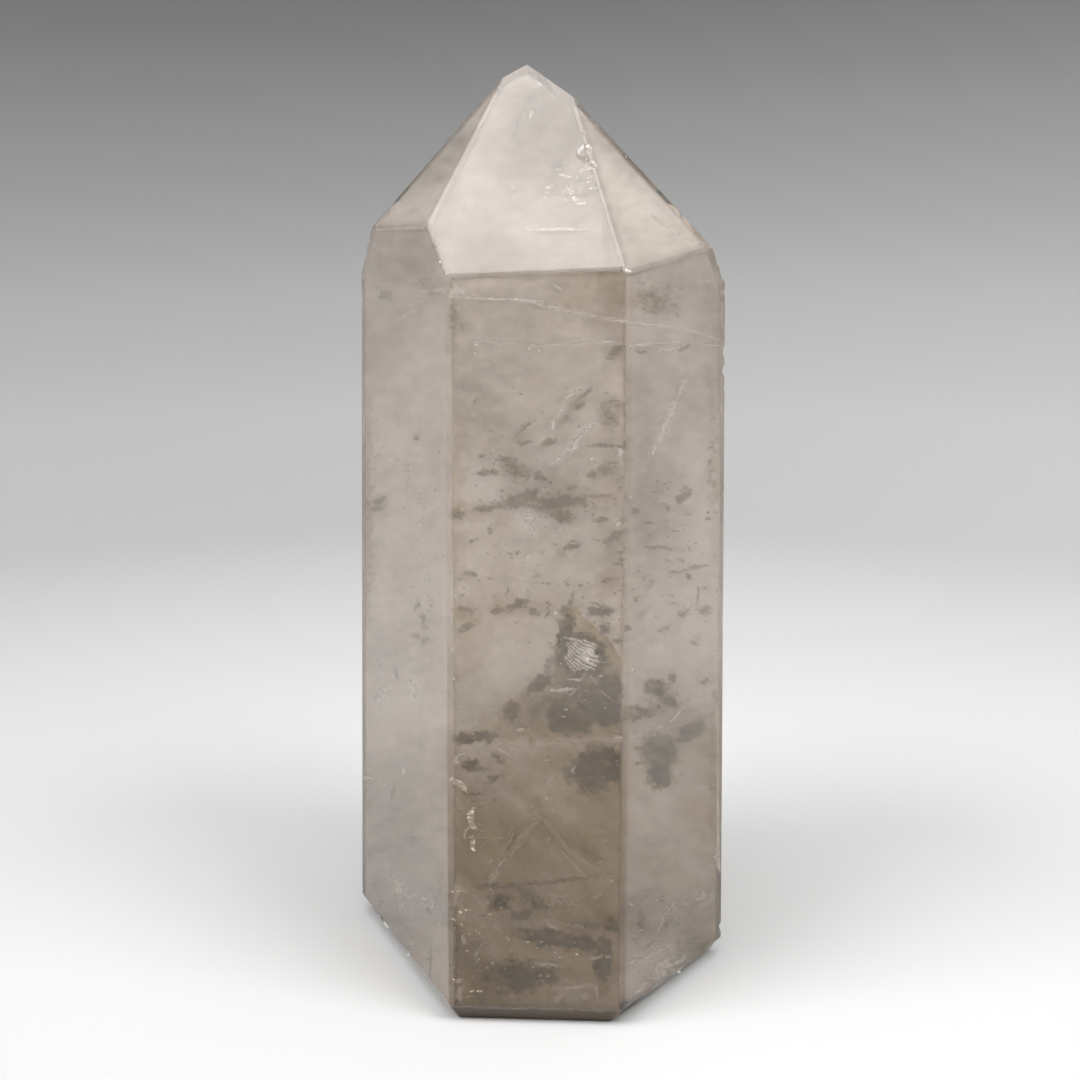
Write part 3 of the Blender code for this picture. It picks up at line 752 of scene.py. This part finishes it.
# Colours of what is inside, from the darkest stains to the whitest cracks
TONES = (
    (0.0, (0.035, 0.024, 0.016)),
    (0.3, (0.19, 0.152, 0.082)),
    (0.5, (0.67, 0.575, 0.43)),
    (0.58, (0.745, 0.675, 0.615)),
    (0.65, (0.875, 0.83, 0.80)),
    (1.0, (0.98, 0.97, 0.95)),
)
TIP_TONES = (
    (0.0, (0.035, 0.024, 0.016)),
    (0.3, (0.24, 0.20, 0.165)),
    (0.5, (0.545, 0.52, 0.50)),
    (0.65, (0.735, 0.715, 0.70)),
    (1.0, (0.99, 0.985, 0.97)),
)
SMOKE = 0.23


def inside_material(name, tones):
    """Thin matt veils whose corners say how much they hide and how pale they are."""
    material, tree, shader = new_material(name)
    cover = add_node(tree, "Attribute", attribute_name="cover").outputs["Fac"]
    tone = add_node(tree, "Attribute", attribute_name="tone").outputs["Fac"]
    tree.links.new(colour_ramp(tree, tone, tones), shader.inputs["Base Color"])
    tree.links.new(cover, shader.inputs["Alpha"])
    shader.inputs["Roughness"].default_value = 0.8
    shader.inputs["Specular IOR Level"].default_value = 0.1
    return material


# Fine flecks strewn between the placed ones
FRONT_SPRINKLED = strewn(
    ((470, 385, 628, 500), 60, 11), ((470, 495, 628, 560), 60, 12),
    ((450, 560, 628, 625), 60, 13), ((545, 600, 628, 700), 40, 14, 1.2),
    ((450, 700, 628, 800), 40, 15), ((484, 888, 600, 930), 60, 16),
    ((450, 925, 480, 1000), 25, 17, 1.2), ((450, 885, 628, 1000), 120, 18, 0.9),
    ((450, 640, 628, 880), 70, 19, 0.7),
)
FRONT_SPECKS = strewn(
    ((450, 890, 628, 1000), 60, 26, 0.8), ((520, 690, 628, 880), 40, 27, 0.7),
)
FRONT_GLINTS = strewn(
    ((446, 890, 480, 1000), 30, 21, 0.9), ((480, 895, 625, 980), 26, 22, 0.8),
    ((450, 620, 628, 800), 30, 23, 0.7), ((470, 280, 628, 620), 24, 24, 0.6),
)
RIGHT_SPRINKLED = strewn(
    ((630, 480, 718, 625), 70, 31), ((632, 670, 718, 790), 30, 32),
    ((630, 895, 690, 960), 40, 33),
)
RIGHT_GLINTS = strewn(
    ((632, 895, 690, 985), 40, 41, 0.9), ((632, 330, 718, 800), 24, 42, 0.6),
)
LEFT_SPRINKLED = strewn(
    ((366, 440, 444, 660), 30, 51, 0.8), ((375, 860, 444, 960), 24, 52, 0.9),
)
LEFT_GLINTS = strewn(
    ((405, 460, 440, 700), 30, 61, 0.8), ((375, 860, 444, 960), 14, 62, 0.9),
)

FLECK_STEP = 1.2  # pixels from one corner of a sheet to the next
MILK_STEP = 1.6
RIM = 3.0
MILK_RIM = 6.0
STAIN_COVER = 0.58
CRACK_COVER = 0.85
STAIN_SHADE = 0.14, 0.32  # the darkest stain, and how much paler the palest is
CRACK_TONE = 0.86
STAIN_EDGE = 0.20, 0.62  # between these strengths of its blots a stain sets in
CRACK_EDGE = 0.28, 0.56
STAIN_GRAIN, CRACK_GRAIN = 0.6, 0.45
STAIN_RAGGED, CRACK_RAGGED = 1.0, 0.6
MILK_COVER = 0.80
LEAST_MILK, MOST_MILK = 0.1, 0.95
WINDOW_EDGE = 0.22, 0.52
WINDOW_RAGGED, SHADE_RAGGED = 1.4, 2.0
SMOKE_COVER = 0.9
SMOKY_TONE = 0.485


def fleck_cover(u, v, dark, pale, lines, rim, seed):
    """How much the stains and cracks hide, and how pale they are, the stronger of the two counting."""
    pale_line, dark_line = line_field(u, v, lines, seed + 60)
    grain = clouds(u / 4, v / 2.6, seed + 1, 3) - 0.5
    dark_field = blot_field(u, v, dark, STAIN_RAGGED, seed + 20)
    pale_field = blot_field(u, v, pale, CRACK_RAGGED, seed + 40)
    stain = np.maximum(eased(dark_field + STAIN_GRAIN * grain, *STAIN_EDGE), dark_line)
    crack = np.maximum(eased(pale_field + CRACK_GRAIN * grain, *CRACK_EDGE), pale_line)
    cover = np.maximum(STAIN_COVER * stain, CRACK_COVER * crack) * rim
    darkest, paler_by = STAIN_SHADE
    shade = darkest + paler_by * clouds(u / 10, v / 6, seed + 3, 3)
    paler = np.maximum(pale_field, pale_line) + crack > np.maximum(dark_field, dark_line) + stain
    return cover, np.where(paler, CRACK_TONE + (1 - CRACK_TONE) * crack, shade)


def milk_cover(u, v, windows, shades, strength, pale, unevenness, smoke, seed):
    """Clouds over streaks, smoky brown in the windows and wherever smoke says: how much the milk hides,
    and how pale it is."""
    field = MILK_COVER + (0.5 + unevenness) * (clouds(u / 80, v / 80, seed + 70, 5) - 0.5)
    field += 0.35 * (clouds(u / 16 + v / 40, v / 10, seed + 90, 2) - 0.5)
    streaks = clouds(u / 6, v / 4, seed + 95, 3) - 0.5
    smoky = eased(blot_field(u, v, windows, WINDOW_RAGGED, seed + 80) + 0.25 * streaks, *WINDOW_EDGE)
    soft = np.zeros(u.shape)
    for number, (*shape, change) in enumerate(shades):
        blot = blot_field(u, v, [(*shape, 1.0)], SHADE_RAGGED, seed + 81 + number)
        soft += change * eased(blot, 0.0, 0.9)
    soft *= 0.7 + 0.6 * clouds(u / 9, v / 8, seed + 97, 2)
    cover = np.clip(strength * np.clip(field, 0.2, 1.1) + 0.12 * soft, LEAST_MILK, MOST_MILK)
    cover += (SMOKE_COVER - cover) * np.maximum(smoky, smoke) * np.clip(field, 0.5, 1)
    uneven = unevenness * (clouds(u / 44, v / 34, seed + 65, 5) - 0.5)
    tone = pale + 0.34 * uneven + 0.5 * soft
    drifts = clouds((u + v) / 60, (v - u) / 22, seed + 68, 5) - 0.5
    tone += (SMOKY_TONE + 0.16 * uneven + 0.30 * drifts + 0.35 * soft - tone) * smoke
    shade = SMOKE + 0.5 * (clouds(u / 14, v / 9, seed + 66, 4) - 0.5)
    return cover, tone + (shade - tone) * smoky * 0.9


# The lower rim of the pale milk under the front facet, in pixels, like a ridge against the smoke
RIDGE_ACROSS = (436, 470, 498, 503, 520, 541, 553, 560, 566, 574, 590, 610, 640)
RIDGE_DOWN = (742, 728, 722, 698, 692, 678, 668, 640, 614, 606, 622, 640, 690)


def front_smoke(u, v):
    """0 above the ridge and rising to 1 under it, with a sharp ragged rim."""
    ragged = 10 * (clouds(u / 9, v / 9, 171, 5) - 0.5)
    under = eased(v + ragged - np.interp(u, RIDGE_ACROSS, RIDGE_DOWN), -1.5, 1.5)
    return under * np.maximum(np.interp(u, (436, 498, 502, 550), (0.3, 0.5, 0.85, 0.95)), eased(v, 690, 830))


def right_smoke(u, v):
    """Rising slowly from the middle down, streaked."""
    streaks = 60 * (clouds(u / 50, v / 20, 271, 4) - 0.5)
    return 0.6 * eased(v + streaks, 660, 760)


def left_smoke(u, v):
    return 0.35 * eased(v, 830, 960)


def no_smoke(u, v):
    return np.zeros(u.shape)


# Under each facet that the camera sees: box in pixels, dark and pale flecks, windows and shades of
# the milk, depths of flecks and milk in millimetres, how much the milk hides, its tone, its smoke, seed
SEEN_PATCHES = (
    (
        "front", FRONT, (422, 256, 654, 1020), FRONT_DARK + FRONT_SPRINKLED, FRONT_PALE + FRONT_SPECKS,
        FRONT_LINES, FRONT_WINDOWS, FRONT_SHADES, (0.55, 0.95), (0.9, 0.68, 0.7), front_smoke, 100,
    ),
    (
        "right", RIGHT, (612, 236, 734, 1004), RIGHT_DARK + RIGHT_SPRINKLED, RIGHT_PALE,
        RIGHT_LINES, RIGHT_WINDOWS, RIGHT_SHADES, (0.5, 0.9), (0.9, 0.70, 0.8), right_smoke, 200,
    ),
    (
        "left", LEFT, (352, 214, 462, 1010), LEFT_DARK + LEFT_SPRINKLED, LEFT_PALE,
        (), (), LEFT_SHADES, (0.5, 0.9), (0.9, 0.70, 0.7), left_smoke, 300,
    ),
    # Painted light and shade: the milk under tip_front is painted darker, and under tip_right and tip_left
    # paler, to set how bright each tip facet looks under the lamps
    (
        "tip_front", TIP_FRONT, (416, 56, 640, 286), TIP_DARK, TIP_PALE,
        (), (), TIP_SHADES, (0.5, 0.85), (0.9, 0.56, 0.15), no_smoke, 400,
    ),
    (
        "tip_right", TIP_RIGHT, (560, 84, 736, 296), (), TIP_RIGHT_PALE,
        (), (), TIP_RIGHT_SHADES, (0.5, 0.85), (0.98, 1.0, 0.2), no_smoke, 500,
    ),
    (
        "tip_left", TIP_LEFT, (360, 66, 512, 284), (), (),
        (), (), TIP_LEFT_SHADES, (0.5, 0.85), (0.97, 1.0, 0.2), no_smoke, 550,
    ),
)


def add_seen_patch(patch, material):
    """Two rolling sheets close under a facet: one of flecks, and under it one of milk with smoky windows."""
    name, facet, box, dark, pale, lines, windows, shades, depths, milk, smoke, seed = patch
    fleck_depth, milk_depth = depths
    strength, milk_tone, unevenness = milk
    u, v = pixel_grid(box, FLECK_STEP)
    depth = fleck_depth * (0.7 + 0.6 * clouds(u / 120, v / 120, seed, 2))
    if dark or pale:
        cover, tone = fleck_cover(u, v, dark, pale, lines, rim_fade(u, v, box, RIM), seed)
        add_sheet(name + "_flecks", seen_inside(u, v, facet, depth), facet, cover, tone, material)
    u, v = pixel_grid(box, MILK_STEP)
    depth = milk_depth * (0.75 + 0.5 * clouds(u / 150, v / 150, seed + 60, 2))
    cover, tone = milk_cover(u, v, windows, shades, strength, milk_tone, unevenness, smoke(u, v), seed)
    cover *= rim_fade(u, v, box, MILK_RIM)
    add_sheet(name + "_milk", seen_inside(u, v, facet, depth), facet, cover, tone, material)


def bright_crack_material():
    """Cracks that shine like mirrors: their corners say how much they hide."""
    material, tree, shader = new_material("bright_cracks")
    cover = add_node(tree, "Attribute", attribute_name="cover").outputs["Fac"]
    tree.links.new(cover, shader.inputs["Alpha"])
    shader.inputs["Base Color"].default_value = (0.93, 0.92, 0.90, 1)
    shader.inputs["Metallic"].default_value = 1.0
    shader.inputs["Roughness"].default_value = 0.28
    return material


STEP_HEIGHT = 0.24  # of the little slopes in a bright crack, in millimetres
STEP_SPACING = 6.0  # in pixels
STEP_DEPTH = 0.31  # how far the nearest end of each is under the facet, in millimetres
SPARKLE_STEP = 0.9
SPARKLE_COVER = 0.95
SPARKLE_EDGE = 0.26, 0.46


def stepped_depth(phase):
    """A row of little slopes, each nearest the facet at its lower end, one for each whole step of phase."""
    return STEP_DEPTH + STEP_HEIGHT * (1 - phase % 1)


def add_sparkles(name, facet, box, blots, seed, material):
    """Small bright cracks over the blots, on little slopes that noise bends."""
    u, v = pixel_grid(box, SPARKLE_STEP)
    blot = blot_field(u, v, blots, CRACK_RAGGED, seed)
    cover = SPARKLE_COVER * eased(blot, *SPARKLE_EDGE) * rim_fade(u, v, box, RIM)
    phase = v / STEP_SPACING + 2.2 * clouds(u / 10, v / 14, seed + 1, 2)
    points = seen_inside(u, v, facet, stepped_depth(phase))
    add_sheet(name + "_sparkles", points, facet, cover, np.ones(u.shape), material)


def scattered_blots(box, count, seed):
    """Random flat blots in loose bands, for facets that the camera doesn't see."""
    rng = np.random.default_rng(seed)
    left, top, right, bottom = box
    bands = rng.uniform(top, bottom, 6)
    down = bands[rng.integers(0, 6, count)] + rng.normal(0, 20, count)
    across = rng.uniform(left, right, count)
    wide = rng.gamma(1.4, 3.2, count) + 1.2
    high = wide * rng.uniform(0.12, 0.4, count) + 0.5
    turn = rng.normal(-8, 18, count)
    strength = rng.uniform(0.55, 1.0, count)
    return np.stack([across, down, wide, high, turn, strength], axis=1).tolist()


# Small bright cracks: facet, box in pixels, blots, seed
SPARKLES = (
    ("front", FRONT, (440, 276, 632, 1006), FRONT_GLINTS, 841),
    ("right", RIGHT, (628, 320, 722, 1000), RIGHT_GLINTS, 851),
    ("left", LEFT, (362, 440, 448, 980), LEFT_GLINTS, 861),
    ("tip_front", TIP_FRONT, (540, 150, 616, 216), TIP_GLINTS, 871),
)

# A shell-shaped crack and some crescents near the front facet, with their boxes in pixels
GLINT_BOX = (556, 632, 608, 678)
GLINT_OVAL = 0.72, 0.78  # half width and half height of the shell, as shares of half the box
GLINT_COVERS = 0.8, 0.6  # inside the oval and round it
GLINT_TONES = 0.44, 0.2
GROUND_GAP = 0.04  # between the ribs and the dull ground under them, in millimetres
RIBS = 5.5
CRESCENT_BOX = (443, 770, 486, 856)
BRIGHT_STEP = 0.6
# Middle, radius, half width and the two angles of each crescent, in pixels and degrees
CRESCENTS = (
    (447, 802, 22, 4.2, -92, -26), (484, 817, 14, 4.2, 118, 224),
    (477, 836, 12, 1.5, 165, 240), (480, 845, 8, 3.0, 125, 235), (470, 834, 3, 1.8, 20, 120),
)


def add_glint(material, bright_material):
    """A conchoidal crack like a small shell: bright curved ribs over a dull ground, inside an oval that
    noise has nibbled."""
    u, v = pixel_grid(GLINT_BOX, BRIGHT_STEP)
    left, top, right, bottom = GLINT_BOX
    across = (u - (left + right) / 2) / ((right - left) / 2)
    down = (v - (top + bottom) / 2) / ((bottom - top) / 2)
    rough = clouds(u / 7, v / 7, 801, 4) - 0.5
    wide, high = GLINT_OVAL
    oval = np.hypot(across / wide, (down - 0.1 * across) / high) + 0.9 * rough
    inside = 1 - eased(oval, 0.75, 0.95)
    rim = (1 - eased(oval, 1.05, 1.5)) * (1 - inside)
    phase = RIBS * (down - 0.55 * across + 0.5 * (across - 0.2) ** 2 + 0.25 * rough)
    lit = eased(np.abs(phase % 1 - 0.5) + 0.5 * rough - 0.2 * np.hypot(across - 0.15, down), -0.02, 0.14)
    cover = np.maximum(GLINT_COVERS[0] * inside, GLINT_COVERS[1] * rim)
    tone = np.where(inside > 0.2, *GLINT_TONES)
    ground = np.full(u.shape, STEP_DEPTH + STEP_HEIGHT + GROUND_GAP)
    add_sheet("front_glint", seen_inside(u, v, FRONT, ground), FRONT, cover, tone, material)
    points = seen_inside(u, v, FRONT, stepped_depth(phase))
    add_sheet("front_glint_ribs", points, FRONT, inside * lit, np.ones(u.shape), bright_material)


def add_crescents(material):
    """Short bright arcs: full strength on the circle between the two angles and nothing half a width off."""
    u, v = pixel_grid(CRESCENT_BOX, BRIGHT_STEP)
    rough = clouds(u / 6, v / 6, 821, 4) - 0.5
    cover = np.zeros(u.shape)
    for middle_u, middle_v, radius, half_width, start, end in CRESCENTS:
        across, down = u - middle_u, v - middle_v
        turn = np.degrees(np.arctan2(down, across)) % 360
        way = ((turn - start) % 360) / ((end - start) % 360)
        taper = np.sqrt(np.clip(4 * way * (1 - way), 0, 1)) * (way < 1)
        away = np.abs(np.hypot(across, down) - radius + 2 * rough)
        cover = np.maximum(cover, 1 - eased(away, 0.6 * half_width * taper, half_width * taper + 0.3))
    points = seen_inside(u, v, FRONT, stepped_depth(v / STEP_SPACING + 1.5 * rough))
    add_sheet("front_crescents", points, FRONT, cover, np.ones(u.shape), material)


SIDE_MILK = 0.84
TIP_MILK = 0.76
SIDE_BOX = (-170, 160, 170, 1004)  # tenths of a millimetre across, and down from 100 mm up the facet
TIP_BOX = (-200, 140, 200, 480)
# Facets on the far side: box, how pale the milk is, seed
HIDDEN_PATCHES = (
    ("back", BACK, SIDE_BOX, SIDE_MILK, 610),
    ("back_left", BACK_LEFT, SIDE_BOX, SIDE_MILK, 620),
    ("back_right", BACK_RIGHT, SIDE_BOX, SIDE_MILK, 630),
    ("tip_back_right", TIP_BACK_RIGHT, TIP_BOX, TIP_MILK, 640),
    ("tip_back", TIP_BACK, TIP_BOX, TIP_MILK, 650),
    ("tip_back_left", TIP_BACK_LEFT, TIP_BOX, TIP_MILK, 660),
)


HIDDEN_BLOTS = 80, 50, 30  # stains, cracks and windows
HIDDEN_FLECK_DEPTH, HIDDEN_MILK_DEPTH = 0.6, 1.1
HIDDEN_STRENGTH = 0.74
HIDDEN_UNEVENNESS = 0.8


def add_hidden_patch(patch, material):
    """The same two sheets under a facet on the far side, with scattered blots."""
    name, facet, box, pale_tone, seed = patch
    stains, cracks, clearings = HIDDEN_BLOTS
    u, v = pixel_grid(box, 2 * FLECK_STEP)
    depth = HIDDEN_FLECK_DEPTH * (0.7 + 0.6 * clouds(u / 120, v / 120, seed, 2))
    dark = scattered_blots(box, stains, seed + 1)
    pale = scattered_blots(box, cracks, seed + 2)
    cover, tone = fleck_cover(u, v, dark, pale, (), np.ones(u.shape), seed)
    add_sheet(name + "_flecks", under_facet(u, v, facet, depth), facet, cover, tone, material)
    u, v = pixel_grid(box, 4 * MILK_STEP)
    depth = HIDDEN_MILK_DEPTH * (0.75 + 0.5 * clouds(u / 150, v / 150, seed + 60, 2))
    windows = scattered_blots(box, clearings, seed + 4)
    smoke = 0.5 * eased(v + 80 * (clouds(u / 50, v / 30, seed + 5, 4) - 0.5), 640, 800)
    cover, tone = milk_cover(
        u, v, windows, (), HIDDEN_STRENGTH, pale_tone, HIDDEN_UNEVENNESS, smoke, seed
    )
    add_sheet(name + "_milk", under_facet(u, v, facet, depth), facet, cover, tone, material)


def add_inside():
    material = inside_material("veils_and_stains", TONES)
    tip_material = inside_material("tip_veils", TIP_TONES)
    for patch in SEEN_PATCHES:
        add_seen_patch(patch, tip_material if patch[0].startswith("tip") else material)
    for patch in HIDDEN_PATCHES:
        add_hidden_patch(patch, tip_material if patch[0].startswith("tip") else material)
    bright_material = bright_crack_material()
    for name, facet, box, blots, seed in SPARKLES:
        add_sparkles(name, facet, box, blots, seed, bright_material)
    add_glint(material, bright_material)
    add_crescents(bright_material)


add_camera()
add_stage()
add_light()
dress_crystal()
add_inside()
